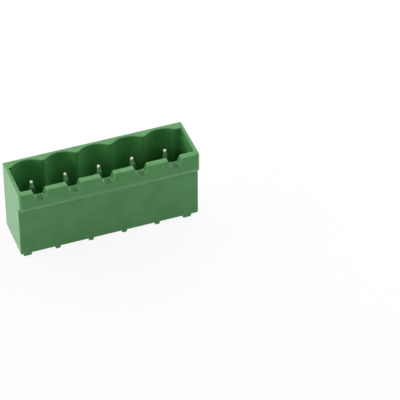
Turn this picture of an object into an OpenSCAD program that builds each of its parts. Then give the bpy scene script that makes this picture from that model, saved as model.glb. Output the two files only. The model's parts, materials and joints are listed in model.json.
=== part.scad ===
// Right-angle board header for a pluggable terminal block: one moulded
// housing with closed ends and a row of bent square contact pins.
// The header stands on the ribs of its back face with the plug opening up.
// X runs along the row, +Y points to the circuit board, +Z out of the mouth.

/* [Contact row] */
// Number of contact pins
poles = 5; // [2:1:12]
// Spacing of the contact pins
pitch = 5.08; // [4.9:0.01:5.6]
// From the first pin's axis to the end of the housing beside it
end_near = 3.12; // [3.0:0.01:4.5]
// From the last pin's axis to the end of the housing beside it
end_far = 3.8; // [3.2:0.01:5.0]

/* [Contact pins] */
// Side of the square wire
wire = 1; // [0.8:0.05:1.2]
// Flat along each long edge of the wire
wire_edge = 0.12; // [0.05:0.01:0.2]
// Radius on the inside of the bend
bend_inner = 0.6; // [0.4:0.05:0.9]
// From the board face to the axis of the mating legs
mate_inset = 3.67; // [3.3:0.01:4]
// Gap between the tips of the mating legs and the rim
tip_drop = 1.5; // [0.8:0.1:3]
// Length of the taper on a mating leg
mate_tip_length = 1.4; // [0.5:0.1:2]
// Width of the flat at the end of a mating leg
mate_flat = 0.4; // [0.3:0.02:0.6]
// From the back face to the axis of the solder legs
solder_inset = 1.11; // [0.9:0.01:1.3]
// How far the solder legs stand out of the board face
solder_out = 3.7; // [2.5:0.1:5]
// Length of the taper on a solder leg
solder_tip_length = 0.7; // [0.3:0.1:1.2]
// Width of the flat at the end of a solder leg
solder_flat = 0.55; // [0.3:0.05:0.7]

/* [Housing] */
// From the back face to the rim of the mouth
body_depth = 11.7; // [10:0.1:14]
// From the board face to the lower coding wall
body_height = 7.2; // [6.9:0.05:8]
// Thickness of the wall under the contacts, from the back face to the floor
floor_depth = 3.6; // [3.1:0.1:5]
// Thickness of the two end walls
end_wall = 0.5; // [0.4:0.05:0.7]
// Radius where an end turns into the back face
end_round = 0.25; // [0.1:0.05:0.4]
// Thickness of the board-side wall at the ridges between two contacts
ridge_wall = 1.42; // [1.2:0.02:1.8]
// Thickness of the board-side wall where a hollow is deepest
hollow_wall = 0.55; // [0.4:0.05:0.8]
// Width of the flat ridge between two hollows
ridge_flat = 0.54; // [0.3:0.02:0.9]

/* [Coding wall] */
// Thickness of the wall at the rim and below the lip
coding_wall = 1.04; // [0.8:0.02:1.2]
// How far the rim stands out from the lower wall
rim_out = 0.95; // [0.5:0.01:1.2]
// How far the latching lip stands out from the lower wall
lip_out = 1.16; // [0.9:0.01:1.6]
// Height of the slope from the rim down to the lip
lip_lead = 1.1; // [0.5:0.1:1.5]
// Height of the lip's band down to the corner that its sweep rounds off
lip_band = 1.73; // [1.2:0.01:2]
// Height of the slope under the lip
lip_under = 1.12; // [1:0.01:2]
// Radius of the sweep from the band into the slope under the lip
lip_sweep = 2; // [1:0.1:2.4]
// Radius round the two ends of the lip
lip_end = 0.6; // [0.2:0.05:0.8]
// Width of a coding notch at the rim
notch_top = 2; // [1.4:0.05:2.6]
// Width of a coding notch at its floor
notch_bottom = 1.15; // [0.8:0.05:1.4]
// Depth of a coding notch on the inside of the wall
notch_drop = 1; // [0.6:0.05:1.5]
// Angle at which the floor of a notch falls outwards
notch_fall = 12; // [0:1:20]

/* [Back face] */
// Height of the standing ribs
rib_high = 0.45; // [0.2:0.05:0.8]
// Width of the ribs between two contacts
rib_wide = 0.75; // [0.4:0.05:1.2]
// From an end pin's axis to the outer side of the rib beside it
end_rib = 2.7; // [2.2:0.05:2.85]
// Width of the slots that take the bends of the pins
slot_wide = 1.36; // [1.3:0.02:1.8]
// Depth of the slots
slot_deep = 2; // [1.8:0.05:2.3]
// Gap round a pin's bend at the closed end of its slot
bend_gap = 0.06; // [0.02:0.01:0.15]
// Width of the relief round each solder leg
relief_wide = 2.9; // [2.2:0.05:3.4]
// Depth of the relief into the board face
relief_deep = 0.48; // [0.2:0.02:0.8]
// From the back face to where the relief starts to run out
relief_straight = 2.3; // [1.8:0.1:3]
// Length over which the relief runs out
relief_runout = 1.25; // [0.6:0.05:2]
// Diameter of the blind core holes
core_d = 1.08; // [0.8:0.02:1.3]
// Depth of the blind core holes
core_deep = 1.3; // [0.6:0.1:2]
// From the board face to the axes of the core holes
core_inset = 6.02; // [5.4:0.02:6.3]

/* [Hidden] */
$fn = 96;
over = 1;
graze = 0.004;
pin_x = [for (i = [0 : poles - 1]) (i - (poles - 1) / 2) * pitch];
pin_names = [for (i = [1 : poles]) str("contact_pin_", i)];

near_end = pin_x[0] - end_near;
far_end = pin_x[poles - 1] + end_far;
body_length = far_end - near_end;
lip_y = body_height + lip_out;
rim_y = body_height + rim_out;
mouth_y = rim_y - coding_wall;
well_y = body_height - coding_wall;
lip_root = body_depth - lip_lead - lip_band - lip_under;
lip_low = lip_root + lip_under;
lip_top = lip_low + lip_band;
under_turn = atan2(lip_out, lip_under);
under_length = norm([lip_out, lip_under]);
sweep_y = lip_sweep - lip_y;
sweep_z = lip_low + lip_sweep * tan(under_turn / 2);
wall_step = coding_wall * tan(under_turn / 2);
bend_r = bend_inner + wire / 2;
bend_y = bend_r - mate_inset;
bend_z = bend_r + solder_inset;
tip_z = body_depth - tip_drop;
slot_end = mate_inset + wire / 2 + bend_gap;
slot_step = mate_inset - wire / 2 - bend_inner;
pocket_deep = bend_z + bend_gap;
hollow_sag = ridge_wall - hollow_wall;
hollow_half = (pitch - ridge_flat) / 2;
hollow_r = (pow(hollow_half, 2) + pow(hollow_sag, 2)) / (2 * hollow_sag);
notch_flank = (notch_top - notch_bottom) / 2 / notch_drop;

// Puts the centre of the overall outline at X = Y = 0 and the rib tips at Z = 0.
// The sub-parts are drawn from the pin row, the board face and the back face.
module placed() {
    translate([-(near_end + far_end) / 2, (lip_y - solder_out) / 2, rib_high]) children();
}

// Extrudes an outline drawn in Y and Z along X, centred on X = 0.
module along_x(length) {
    rotate([90, 0, 90]) linear_extrude(length, center = true) children();
}

// Extrudes an outline drawn in X and Z along Y, centred on Y = 0.
module along_y(length) {
    rotate([90, 0, 0]) linear_extrude(length, center = true) children();
}

// What is cut off to round a square corner at the origin.
module corner_cut(radius) {
    difference() {
        translate([-over, -over]) square(radius + over);
        translate([radius, radius]) circle(radius);
    }
}

// Section of the housing below the rim and the lip.
module core_section() {
    translate([-body_height, 0]) square([body_height, body_depth]);
}

// Section of the rim and of the latching lip, swept in under its band.
module lip_section() {
    difference() {
        polygon([
            [0, lip_root], [0, body_depth], [-rim_y, body_depth], [-lip_y, lip_top],
            [-lip_y, lip_low], [-body_height, lip_root]
        ]);
        translate([sweep_y, sweep_z]) sweep_cut();
    }
}

// What is cut off to make the lip's sweep, drawn from the centre of its arc.
// The arc meets the flats at a slight angle, not as an exact tangent.
module sweep_cut() {
    reach = lip_sweep + over;
    difference() {
        polygon([
            [0, 0], [-reach, 0], [-reach, -reach * tan(under_turn / 2)],
            [-reach * cos(under_turn), -reach * sin(under_turn)]
        ]);
        circle(lip_sweep + graze);
    }
}

// The strips that round one end of the lip, down its band and along the slope.
module lip_end_edges() {
    translate([0, -lip_y, lip_root]) linear_extrude(body_depth) corner_cut(lip_end);
    translate([0, -lip_y, lip_low]) rotate([under_turn, 0, 0])
        linear_extrude(3 * under_length, center = true) corner_cut(lip_end);
}

// The strip that rounds one lower end edge off.
module back_end_edge() {
    along_y(3 * lip_y) corner_cut(end_round);
}

module at_both_ends() {
    translate([near_end, 0, 0]) children();
    translate([far_end, 0, 0]) mirror([1, 0, 0]) children();
}

module outer_block() {
    middle = (near_end + far_end) / 2;
    difference() {
        translate([middle, 0, 0]) along_x(body_length) core_section();
        at_both_ends() back_end_edge();
    }
    difference() {
        translate([middle, 0, 0]) along_x(body_length) lip_section();
        at_both_ends() lip_end_edges();
    }
}

module rib(from_x, to_x) {
    translate([from_x, -body_height, -rib_high])
        cube([to_x - from_x, body_height, rib_high + end_round]);
}

module standing_ribs() {
    for (i = [1 : poles - 1]) {
        middle = (pin_x[i - 1] + pin_x[i]) / 2;
        rib(middle - rib_wide / 2, middle + rib_wide / 2);
    }
    rib(pin_x[0] - end_rib, pin_x[0] - relief_wide / 2);
    rib(pin_x[poles - 1] + relief_wide / 2, pin_x[poles - 1] + end_rib);
}

// Plan of the cavity: a straight coding wall and one hollow opposite each pin.
module cavity_plan() {
    room = body_length - 2 * end_wall;
    translate([near_end + end_wall, -mouth_y]) square([room, mouth_y - ridge_wall]);
    intersection() {
        for (x = pin_x) translate([x, -hollow_wall - hollow_r]) circle(hollow_r);
        translate([near_end + end_wall, -ridge_wall - bend_gap])
            square([room, ridge_wall + bend_gap]);
    }
}

// Section of the cavity: wide behind the lip, narrower below it.
module cavity_section() {
    polygon([
        [over, floor_depth], [over, body_depth + over], [-mouth_y, body_depth + over],
        [-mouth_y, lip_low + wall_step], [-well_y, lip_root + wall_step],
        [-well_y, floor_depth]
    ]);
}

module cavity() {
    intersection() {
        linear_extrude(body_depth + 2 * over) cavity_plan();
        translate([(near_end + far_end) / 2, 0, 0]) along_x(body_length) cavity_section();
    }
}

// One coding notch through the rim, its floor falling outwards.
module coding_notch() {
    half_low = notch_bottom / 2;
    half_high = notch_top / 2 + over * notch_flank;
    translate([0, -mouth_y, body_depth]) rotate([notch_fall, 0, 0]) along_y(4 * coding_wall)
        polygon([
            [-half_low, -notch_drop], [half_low, -notch_drop],
            [half_high, over], [-half_high, over]
        ]);
}

// The slot for a bent pin, open to the back face and to the board face.
module bend_slot() {
    along_x(slot_wide) polygon([
        [over, -rib_high - over], [over, slot_deep], [-slot_step, slot_deep],
        [-slot_step, pocket_deep], [-slot_end, pocket_deep], [-slot_end, -rib_high - over]
    ]);
}

module leg_relief() {
    along_x(relief_wide) polygon([
        [over, -over], [-relief_deep, -over], [-relief_deep, relief_straight],
        [0, relief_straight + relief_runout], [over, relief_straight + relief_runout]
    ]);
}

module pin_hole() {
    translate([-wire / 2, -mate_inset - wire / 2, slot_deep])
        cube([wire, wire, floor_depth + over - slot_deep]);
}

module core_hole() {
    translate([0, -core_inset, -over]) cylinder(d = core_d, h = core_deep + over);
}

module housing() {
    color("seagreen") placed() difference() {
        union() {
            outer_block();
            standing_ribs();
        }
        cavity();
        for (x = pin_x) translate([x, 0, 0]) {
            coding_notch();
            bend_slot();
            leg_relief();
            pin_hole();
            core_hole();
        }
    }
}

// Section of the wire: a square with its corners cut.
module wire_section() {
    flat = wire / 2 - wire_edge;
    polygon([
        [-flat, -wire / 2], [flat, -wire / 2], [wire / 2, -flat], [wire / 2, flat],
        [flat, wire / 2], [-flat, wire / 2], [-wire / 2, flat], [-wire / 2, -flat]
    ]);
}

// A straight leg along +Z that tapers to a flat end on all four sides.
module leg(length, taper, end_flat) {
    module outline() {
        polygon([
            [-wire / 2, 0], [wire / 2, 0], [wire / 2, length - taper],
            [end_flat / 2, length], [-end_flat / 2, length], [-wire / 2, length - taper]
        ]);
    }
    intersection() {
        linear_extrude(length) wire_section();
        along_x(2 * wire) outline();
        along_y(2 * wire) outline();
    }
}

module contact_pin(x) {
    color("silver") placed() translate([x, 0, 0]) {
        translate([0, -mate_inset, bend_z]) leg(tip_z - bend_z, mate_tip_length, mate_flat);
        translate([0, bend_y, bend_z]) rotate([90, 0, 90]) rotate([0, 0, 180])
            rotate_extrude(angle = 90) translate([bend_r, 0]) wire_section();
        translate([0, bend_y, solder_inset]) rotate([-90, 0, 0])
            leg(solder_out - bend_y, solder_tip_length, solder_flat);
    }
}

housing();
for (i = [0 : poles - 1])
    contact_pin(pin_x[i]);
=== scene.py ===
import json
import math

import bmesh
import bpy
from mathutils import Matrix, Vector


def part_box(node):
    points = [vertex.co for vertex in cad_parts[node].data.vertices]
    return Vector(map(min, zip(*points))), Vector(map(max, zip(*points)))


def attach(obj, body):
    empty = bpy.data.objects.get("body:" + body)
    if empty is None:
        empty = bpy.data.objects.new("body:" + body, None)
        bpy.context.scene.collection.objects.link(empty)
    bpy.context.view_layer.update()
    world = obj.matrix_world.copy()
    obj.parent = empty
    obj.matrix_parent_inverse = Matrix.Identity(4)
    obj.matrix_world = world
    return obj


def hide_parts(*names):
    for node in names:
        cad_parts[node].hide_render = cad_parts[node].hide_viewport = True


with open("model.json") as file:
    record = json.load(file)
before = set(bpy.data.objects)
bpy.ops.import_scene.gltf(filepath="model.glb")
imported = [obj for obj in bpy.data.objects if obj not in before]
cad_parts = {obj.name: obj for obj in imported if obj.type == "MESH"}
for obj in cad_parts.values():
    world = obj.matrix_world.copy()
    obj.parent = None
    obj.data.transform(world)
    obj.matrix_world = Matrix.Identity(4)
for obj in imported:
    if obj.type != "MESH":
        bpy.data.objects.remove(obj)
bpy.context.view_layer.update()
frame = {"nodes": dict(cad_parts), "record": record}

MM = 0.001
mounts = {mount["name"]: mount for mount in frame["record"]["mounts"]}

# ---------------------------------------------------------------- sizes, in millimetres
PIN_COUNT = 5
WIRE_SIDE = 1.0
WIRE_EDGE_RADIUS = 0.16
WIRE_BEND_RADIUS = 1.1
BEND_STEPS = 14
EDGE_STEPS = 3
MATING_POINT = 1.4
MATING_FLAT = 0.4
SOLDER_POINT = 0.7
SOLDER_FLAT = 0.55
CUT_CHAMFER = 0.05
RIB_HEIGHT = 0.45
EDGE_RADIUS = 0.11
SHORT_EDGE = 0.16
CUT_DEPTH = 0.03
# degrees
SHARP_FROM = 28
NEARLY_SQUARE = 89

# ---------------------------------------------------------------- colours
GREEN_SHADE = (0.057, 0.238, 0.062)
GREEN_LIGHT = (0.076, 0.286, 0.081)
GREEN_SPECK = (0.13, 0.34, 0.14)
TIN_SHADE = (0.52, 0.50, 0.47)
TIN_LIGHT = (0.72, 0.70, 0.67)
CUT_METAL = (0.60, 0.47, 0.37)

# ---------------------------------------------------------------- studio
SOFTBOX_DISTANCE = 0.75
# bearing from behind the part, height (degrees), width, height (metres), watts
SOFTBOXES = {
    "back_strip": (0, 17, 1, 0.25, 5),
    "back_panel": (0, 40, 0.9, 0.28, 0.41),
    "back_left_panel": (-55, 35, 0.4, 0.4, 2.1),
    "back_right_panel": (55, 35, 0.4, 0.4, 2),
    "left_low": (-95, 8, 0.45, 0.25, 3),
    "right_panel": (95, 28, 0.45, 0.45, 2.5),
    "front_panel": (180, 30, 0.6, 0.3, 0.79),
}
AMBIENT = 0.08
FLOOR_GLOW = 0.9

# azimuth, elevation and roll in degrees; then millimetres
CAMERA_ANGLES = (-19.691, 40.227, -0.504)
CAMERA_STAND = (395.258, -14.165, 1.511)
AIM_FROM_DATUM = (0.3, -4.2, 6.0)
SENSOR_WIDTH = 36.0
FOCAL_LENGTH = 2723.354 / 400 * SENSOR_WIDTH


def link(obj):
    bpy.context.scene.collection.objects.link(obj)
    return obj


# ---------------------------------------------------------------- node maths

class Value:
    """A socket that takes part in Python arithmetic."""

    def __init__(self, nodes, socket):
        self.nodes = nodes
        self.socket = socket

    def _math(self, operation, *values):
        return self.nodes.add("ShaderNodeMath", {"operation": operation}, *values)

    def __add__(self, other):
        return self._math("ADD", self, other)

    def __radd__(self, other):
        return self._math("ADD", other, self)

    def __sub__(self, other):
        return self._math("SUBTRACT", self, other)

    def __rsub__(self, other):
        return self._math("SUBTRACT", other, self)

    def __mul__(self, other):
        return self._math("MULTIPLY", self, other)

    def __rmul__(self, other):
        return self._math("MULTIPLY", other, self)

    def __truediv__(self, other):
        return self._math("DIVIDE", self, other)

    def __gt__(self, other):
        return self._math("GREATER_THAN", self, other)

    def __lt__(self, other):
        return self._math("LESS_THAN", self, other)

    def at_least(self, other):
        return self._math("MAXIMUM", self, other)

    def at_most(self, other):
        return self._math("MINIMUM", self, other)



class Nodes:
    """A node tree under construction."""

    def __init__(self, tree):
        self.tree = tree
        tree.nodes.clear()

    def node(self, kind, settings=None, *values, **named):
        node = self.tree.nodes.new(kind)
        for name, setting in (settings or {}).items():
            if name == "choices":
                while len(node.index_switch_items) < setting:
                    node.index_switch_items.new()
            elif name == "stops":
                ramp = node.color_ramp
                while len(ramp.elements) < len(setting):
                    ramp.elements.new(1.0)
                for element, (place, colour) in zip(ramp.elements, setting):
                    element.position = place
                    element.color = (*colour, 1.0)
            else:
                setattr(node, name, setting)
        given = list(enumerate(values)) + list(named.items())
        for key, value in given:
            self.put(node, key, value)
        return node

    def put(self, node, key, value):
        open_inputs = [s for s in node.inputs if s.enabled]
        if isinstance(key, int):
            socket = open_inputs[key]
        else:
            socket = next(s for s in open_inputs if s.name == key)
        if isinstance(value, Value):
            self.tree.links.new(value.socket, socket)
        elif value is not None:
            if socket.type == "RGBA" and len(value) == 3:
                value = (*value, 1.0)
            socket.default_value = value

    def add(self, kind, settings=None, *values, **named):
        node = self.node(kind, settings, *values, **named)
        return Value(self, next(s for s in node.outputs if s.enabled))

    def pick(self, node, name):
        return Value(self, node.outputs[name])


def new_material(name):
    material = bpy.data.materials.new(name)
    material.use_nodes = True
    return material, Nodes(material.node_tree)


def finish_material(nodes, shader):
    nodes.node("ShaderNodeOutputMaterial", None, Surface=shader)


# ---------------------------------------------------------------- finishes

def noise(nodes, place, per_mm, detail=2.0, roughness=0.5, seed=0.0):
    return nodes.add(
        "ShaderNodeTexNoise", {"noise_dimensions": "4D"},
        Vector=place, Scale=per_mm / MM, W=seed, Detail=detail, Roughness=roughness)


def mix_colour(nodes, blend, amount, one, other):
    node = nodes.node("ShaderNodeMix", {"data_type": "RGBA", "blend_type": blend})
    for name, value in (("Factor", amount), ("A", one), ("B", other)):
        nodes.put(node, name, value)
    return Value(nodes, next(s for s in node.outputs if s.enabled))


def moulded_polyamide():
    material, nodes = new_material("moulded_polyamide")
    place = nodes.pick(nodes.node("ShaderNodeTexCoord"), "Object")
    cloud = noise(nodes, place, 0.35, 3.0, 0.55, 1.0)
    speck = noise(nodes, place, 6.0, 2.0, 0.6, 2.0)
    grain = noise(nodes, place, 9.0, 3.0, 0.6, 3.0)
    swell = noise(nodes, place, 0.5, 1.0, 0.4, 4.0)
    tone = nodes.add(
        "ShaderNodeValToRGB",
        {"stops": [(0.30, GREEN_SHADE), (0.70, GREEN_LIGHT)]},
        Fac=cloud)
    tone = mix_colour(nodes, "MIX", (speck - 0.5) * 0.12 + 0.06, tone, GREEN_SPECK)
    roughness = 0.27 + (cloud - 0.5) * 0.10 + (speck - 0.5) * 0.06
    height = grain * 0.35 + swell * 1.0
    normal = nodes.add("ShaderNodeBump", None, Strength=0.25, Distance=0.012 * MM, Height=height)
    shader = nodes.add(
        "ShaderNodeBsdfPrincipled", None,
        **{"Base Color": tone, "Roughness": roughness, "IOR": 1.53,
           "Specular IOR Level": 0.32, "Normal": normal})
    finish_material(nodes, shader)
    return material


def tinned_wire():
    material, nodes = new_material("tinned_wire")
    place = nodes.pick(nodes.node("ShaderNodeTexCoord"), "Object")
    blotch = noise(nodes, place, 1.6, 3.0, 0.55, 5.0)
    fine = noise(nodes, place, 14.0, 2.0, 0.6, 6.0)
    split = nodes.node("ShaderNodeSeparateXYZ", None, place)
    y, z = nodes.pick(split, "Y"), nodes.pick(split, "Z")
    solder_tip = mounts["solder_legs"]["pos_m"][1]
    mating_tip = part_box("contact_pin_1")[1][2]
    cut_end = (y > solder_tip - CUT_DEPTH * MM).at_least(z > mating_tip - CUT_DEPTH * MM)
    tone = nodes.add(
        "ShaderNodeValToRGB",
        {"stops": [(0.32, TIN_SHADE), (0.68, TIN_LIGHT)]},
        Fac=blotch)
    tone = mix_colour(nodes, "MIX", cut_end * 0.75, tone, CUT_METAL)
    roughness = 0.16 + (blotch - 0.5) * 0.12 + cut_end * 0.30
    normal = nodes.add(
        "ShaderNodeBump", None, Strength=0.30, Distance=0.008 * MM, Height=fine + blotch * 1.5)
    shader = nodes.add(
        "ShaderNodeBsdfPrincipled", None,
        **{"Base Color": tone, "Metallic": 1.0, "Roughness": roughness, "Normal": normal})
    finish_material(nodes, shader)
    return material


PLASTIC = moulded_polyamide()
TIN = tinned_wire()


# ---------------------------------------------------------------- pieces

def plain_mesh(obj, name):
    """The evaluated object as a plain mesh, with no modifier left on it."""
    ready = obj.evaluated_get(bpy.context.evaluated_depsgraph_get())
    mesh = bpy.data.meshes.new_from_object(ready)
    mesh.name = name
    piece = link(bpy.data.objects.new(name, mesh))
    bpy.data.objects.remove(obj, do_unlink=True)
    return piece


def moulded_housing():
    """The moulding with the small radii that a mould leaves on every edge."""
    mesh = frame["nodes"]["housing"].data.copy()
    work = bmesh.new()
    work.from_mesh(mesh)
    bmesh.ops.remove_doubles(work, verts=work.verts, dist=0.002 * MM)
    bmesh.ops.dissolve_limit(
        work, angle_limit=math.radians(0.6), verts=work.verts, edges=work.edges)
    share = work.edges.layers.float.new("bevel_weight_edge")
    for edge in work.edges:
        turn = math.degrees(edge.calc_face_angle(0.0))
        short_slant = edge.calc_length() < SHORT_EDGE * MM and turn < NEARLY_SQUARE
        edge[share] = 1.0 if turn > SHARP_FROM and not short_slant else 0.0
    for face in work.faces:
        face.smooth = True
    work.to_mesh(mesh)
    work.free()
    blank = link(bpy.data.objects.new("housing_blank", mesh))
    rounding = blank.modifiers.new("rounding", "BEVEL")
    rounding.limit_method = "WEIGHT"
    rounding.width = EDGE_RADIUS * MM
    rounding.segments = EDGE_STEPS
    rounding.use_clamp_overlap = False
    rounding.miter_outer = "MITER_ARC"
    evening = blank.modifiers.new("evening", "WEIGHTED_NORMAL")
    evening.weight = 100
    piece = plain_mesh(blank, "moulded_shroud")
    piece.data.materials.clear()
    piece.data.materials.append(PLASTIC)
    return piece


def bent_wire_tree():
    """Square wire from a mating tip round one bend to a solder tip, tapered at both ends."""
    tree = bpy.data.node_groups.new("bent_wire", "GeometryNodeTree")
    for name, kind in (("Mating Tip", "Vector"), ("Corner", "Vector"), ("Solder Tip", "Vector"),
                       ("Side", "Float"), ("Edge Radius", "Float"), ("Bend Radius", "Float"),
                       ("Mating Point", "Float"), ("Mating Flat", "Float"),
                       ("Solder Point", "Float"), ("Solder Flat", "Float"),
                       ("Chamfer", "Float"), ("Material", "Material")):
        tree.interface.new_socket(name, in_out="INPUT", socket_type="NodeSocket" + kind)
    tree.interface.new_socket("Geometry", in_out="OUTPUT", socket_type="NodeSocketGeometry")
    nodes = Nodes(tree)
    given = nodes.node("NodeGroupInput")
    size = {socket.name: nodes.pick(given, socket.name)
            for socket in given.outputs if socket.name}

    def vector(operation, *values):
        return nodes.add("ShaderNodeVectorMath", {"operation": operation}, *values)

    def between(start, end, distance):
        way = vector("NORMALIZE", vector("SUBTRACT", end, start))
        node = nodes.node("ShaderNodeVectorMath", {"operation": "SCALE"}, way)
        nodes.put(node, "Scale", distance)
        return vector("ADD", start, Value(nodes, node.outputs["Vector"]))

    mating, corner, solder = size["Mating Tip"], size["Corner"], size["Solder Tip"]
    stops = [mating, between(mating, corner, size["Chamfer"]),
             between(mating, corner, size["Mating Point"]), corner,
             between(solder, corner, size["Solder Point"]),
             between(solder, corner, size["Chamfer"]), solder]
    index = nodes.add("GeometryNodeInputIndex")
    where = nodes.add(
        "GeometryNodeIndexSwitch", {"data_type": "VECTOR", "choices": len(stops)},
        Index=index, **{str(number): stop for number, stop in enumerate(stops)})
    line = nodes.add("GeometryNodeMeshLine", {"mode": "OFFSET"}, Count=len(stops))
    line = nodes.add("GeometryNodeSetPosition", None, Geometry=line, Position=where)
    path = nodes.add("GeometryNodeMeshToCurve", None, Mesh=line)
    path = nodes.add(
        "GeometryNodeFilletCurve", {"mode": "POLY"}, Curve=path, Count=BEND_STEPS,
        **{"Radius": size["Bend Radius"] * (index > 2.5) * (index < 3.5)})
    path = nodes.add(
        "GeometryNodeSetCurveNormal", {"mode": "FREE"}, Curve=path, Normal=(1.0, 0.0, 0.0))
    travelled = nodes.pick(nodes.node("GeometryNodeSplineParameter"), "Length")
    whole = nodes.pick(nodes.node("GeometryNodeSplineLength"), "Length")

    def taper(travel, point, flat):
        start = flat / size["Side"]
        slope = start + (1.0 - start) * (travel / size[point])
        cut = (travel < size["Chamfer"] * 0.5) * (size["Chamfer"] / size["Side"])
        return slope - cut

    thickness = taper(travelled, "Mating Point", size["Mating Flat"]).at_most(
        taper(whole - travelled, "Solder Point", size["Solder Flat"])).at_most(1.0)
    square = nodes.add(
        "GeometryNodeCurvePrimitiveQuadrilateral", {"mode": "RECTANGLE"},
        Width=size["Side"], Height=size["Side"])
    square = nodes.add(
        "GeometryNodeFilletCurve", {"mode": "POLY"}, Curve=square, Count=EDGE_STEPS,
        Radius=size["Edge Radius"])
    wire = nodes.add(
        "GeometryNodeCurveToMesh", None, Curve=path, Scale=thickness,
        **{"Profile Curve": square, "Fill Caps": True})
    wire = nodes.add("GeometryNodeSetShadeSmooth", None, Geometry=wire)
    bend = nodes.pick(nodes.node("GeometryNodeInputMeshEdgeAngle"), "Unsigned Angle")
    wire = nodes.node(
        "GeometryNodeSetShadeSmooth", {"domain": "EDGE"}, Geometry=wire,
        Selection=bend > math.radians(SHARP_FROM))
    nodes.put(wire, "Shade Smooth", False)
    wire = nodes.add("GeometryNodeRealizeInstances", None, Geometry=nodes.pick(wire, "Geometry"))
    wire = nodes.add(
        "GeometryNodeSetMaterial", None, Geometry=wire, Material=size["Material"])
    nodes.node("NodeGroupOutput", None, Geometry=wire)
    return tree


def contact_wire(number, tree):
    """One pin, laid along the axis that its CAD solid gives."""
    low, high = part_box(f"contact_pin_{number}")
    half = WIRE_SIDE * MM / 2
    middle = (low.x + high.x) / 2
    sizes = {
        "Mating Tip": (middle, low.y + half, high.z),
        "Corner": (middle, low.y + half, low.z + half),
        "Solder Tip": (middle, high.y, low.z + half),
        "Side": WIRE_SIDE * MM,
        "Edge Radius": WIRE_EDGE_RADIUS * MM,
        "Bend Radius": WIRE_BEND_RADIUS * MM,
        "Mating Point": MATING_POINT * MM,
        "Mating Flat": MATING_FLAT * MM,
        "Solder Point": SOLDER_POINT * MM,
        "Solder Flat": SOLDER_FLAT * MM,
        "Chamfer": CUT_CHAMFER * MM,
        "Material": TIN,
    }
    blank = link(bpy.data.objects.new("wire_blank", bpy.data.meshes.new("wire_blank")))
    forming = blank.modifiers.new("forming", "NODES")
    forming.node_group = tree
    for socket in tree.interface.items_tree:
        if socket.in_out == "INPUT":
            forming[socket.identifier] = sizes[socket.name]
    facing = blank.modifiers.new("facing", "WEIGHTED_NORMAL")
    facing.keep_sharp = True
    return plain_mesh(blank, f"tinned_pin_{number}")


housing = moulded_housing()
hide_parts("housing")
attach(housing, "root")
wire_tree = bent_wire_tree()
for number in range(1, PIN_COUNT + 1):
    pin = contact_wire(number, wire_tree)
    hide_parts(f"contact_pin_{number}")
    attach(pin, "root")


# ---------------------------------------------------------------- stage, light and camera

def seen_directly(nodes):
    """1 where the background itself is looked at, mirrored or seen through."""
    rays = nodes.node("ShaderNodeLightPath")
    kinds = [nodes.pick(rays, f"Is {kind} Ray") for kind in ("Camera", "Glossy", "Transmission")]
    return (kinds[0] + kinds[1] + kinds[2]).at_most(1.0)


def pale_floor():
    bpy.ops.mesh.primitive_plane_add(size=3.0, location=(0, 0, 0))
    floor = bpy.context.object
    floor.name = "pale_floor"
    material, nodes = new_material("pale_sheet")
    seen = seen_directly(nodes)
    paper = nodes.add("ShaderNodeBsdfDiffuse", None, Color=(0.95, 0.95, 0.95))
    glow = nodes.add("ShaderNodeEmission", None, Color=(1.0, 1.0, 1.0), Strength=1.0)
    finish_material(nodes, nodes.add("ShaderNodeMixShader", None, seen * FLOOR_GLOW, paper, glow))
    floor.data.materials.append(material)


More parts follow.
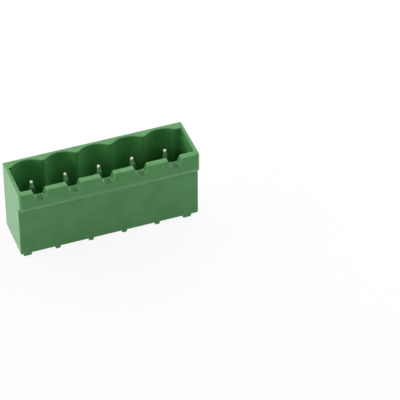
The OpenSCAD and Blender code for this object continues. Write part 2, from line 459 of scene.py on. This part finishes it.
def studio_world():
    world = bpy.data.worlds.new("studio")
    bpy.context.scene.world = world
    world.use_nodes = True
    nodes = Nodes(world.node_tree)
    seen = seen_directly(nodes)
    around = nodes.add("ShaderNodeBackground", None, Color=(1.0, 1.0, 1.0), Strength=AMBIENT)
    shown = nodes.add("ShaderNodeBackground", None, Color=(1.0, 1.0, 1.0), Strength=1.0)
    mixed = nodes.add("ShaderNodeMixShader", None, seen, around, shown)
    nodes.node("ShaderNodeOutputWorld", None, Surface=mixed)


def softbox(name, bearing, height, wide, tall, watts):
    """A panel aimed at the part; the bearing is in degrees from behind it."""
    lamp = bpy.data.lights.new(name, "AREA")
    lamp.shape = "RECTANGLE"
    lamp.size, lamp.size_y = wide, tall
    lamp.energy = watts
    bearing, height = math.radians(bearing), math.radians(height)
    away = Vector((math.sin(bearing) * math.cos(height),
                   math.cos(bearing) * math.cos(height), math.sin(height)))
    panel = link(bpy.data.objects.new(name, lamp))
    turn = (-away).to_track_quat("-Z", "Y").to_matrix().to_4x4()
    panel.matrix_world = Matrix.Translation(away * SOFTBOX_DISTANCE) @ turn


def camera_at_product():
    azimuth, elevation, roll = (math.radians(angle) for angle in CAMERA_ANGLES)
    distance, across, up_shift = CAMERA_STAND
    back = Vector((math.sin(azimuth) * math.cos(elevation),
                   -math.cos(azimuth) * math.cos(elevation), math.sin(elevation)))
    level = Vector((math.cos(azimuth), math.sin(azimuth), 0.0))
    rise = back.cross(level)
    right = math.cos(roll) * level + math.sin(roll) * rise
    up = -math.sin(roll) * level + math.cos(roll) * rise
    row_middle = sum(sum(corner[0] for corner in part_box(f"contact_pin_{n}")) / 2
                     for n in range(1, PIN_COUNT + 1)) / PIN_COUNT
    datum = Vector((row_middle, mounts["board_face"]["pos_m"][1], RIB_HEIGHT * MM))
    looked_at = datum + Vector(AIM_FROM_DATUM) * MM
    place = looked_at + (distance * back - across * right - up_shift * up) * MM
    lens = bpy.data.cameras.new("camera")
    lens.sensor_width = SENSOR_WIDTH
    lens.lens = FOCAL_LENGTH
    lens.clip_start, lens.clip_end = 0.01, 20.0
    camera = link(bpy.data.objects.new("camera", lens))
    turn = Matrix((right, up, back)).transposed()
    camera.matrix_world = Matrix.Translation(place) @ turn.to_4x4()
    bpy.context.scene.camera = camera


pale_floor()
studio_world()
for name, (bearing, height, wide, tall, watts) in SOFTBOXES.items():
    softbox(name, bearing, height, wide, tall, watts)
camera_at_product()
bpy.context.scene.view_settings.view_transform = "Standard"
